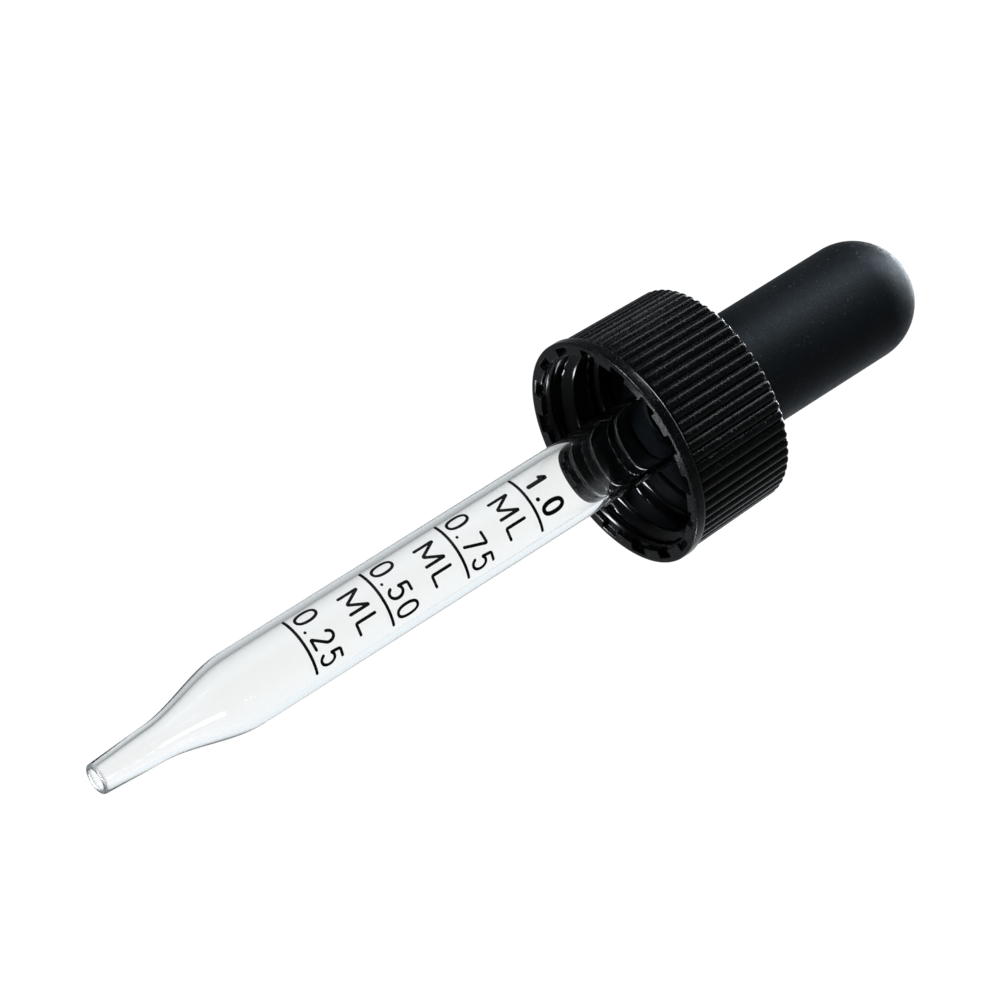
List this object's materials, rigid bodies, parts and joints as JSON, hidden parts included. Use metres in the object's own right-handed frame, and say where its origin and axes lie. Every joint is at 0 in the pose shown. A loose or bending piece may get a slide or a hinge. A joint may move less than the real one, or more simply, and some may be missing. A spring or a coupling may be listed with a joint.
{
  "type": "medicine dropper",
  "caption": "Medicine dropper: a graduated glass pipette held in a squeezable rubber bulb, with a ribbed screw closure that turns round the bulb's neck.",
  "frame": {"origin": "centre of the sealing plane, where the bulb's flange rests on the lip of the bottle's neck", "axes": "+Z along the dropper's axis, from the pipette's tip towards the bulb's dome; -Y is the front, where the scale is printed; +X completes the right-handed frame"},
  "size_m": [0.023, 0.023, 0.0958],
  "materials": {
    "cap_plastic": "satin black moulded plastic with a fine grain",
    "bulb_rubber": "soft matte black rubber",
    "pipette_glass": "clear drawn glass, fire-polished at both ends, with a black printed scale"
  },
  "bodies": {
    "closure": {"closure_cap": "cap_plastic"},
    "dropper": {"rubber_bulb": "bulb_rubber", "glass_pipette": "pipette_glass"},
    "front_wall": {"press_wall_front": "bulb_rubber"},
    "back_wall": {"press_wall_back": "bulb_rubber"}
  },
  "joints": [
    {"name": "closure_turn", "type": "hinge", "parent": "closure", "child": "dropper", "pos_m": [0, 0, 0], "axis": [0, 0, 1], "continuous": true},
    {"name": "squeeze_front", "type": "slide", "parent": "dropper", "child": "front_wall", "axis": [0, 1, 0], "range_m": [0, 0.0025], "stiffness_N_per_m": 1500},
    {"name": "squeeze_back", "type": "slide", "parent": "dropper", "child": "back_wall", "axis": [0, -1, 0], "range_m": [0, 0.0025], "stiffness_N_per_m": 1500}
  ],
  "couplings": [
    {"joint": "squeeze_back", "follows": "squeeze_front", "ratio": 1}
  ]
}
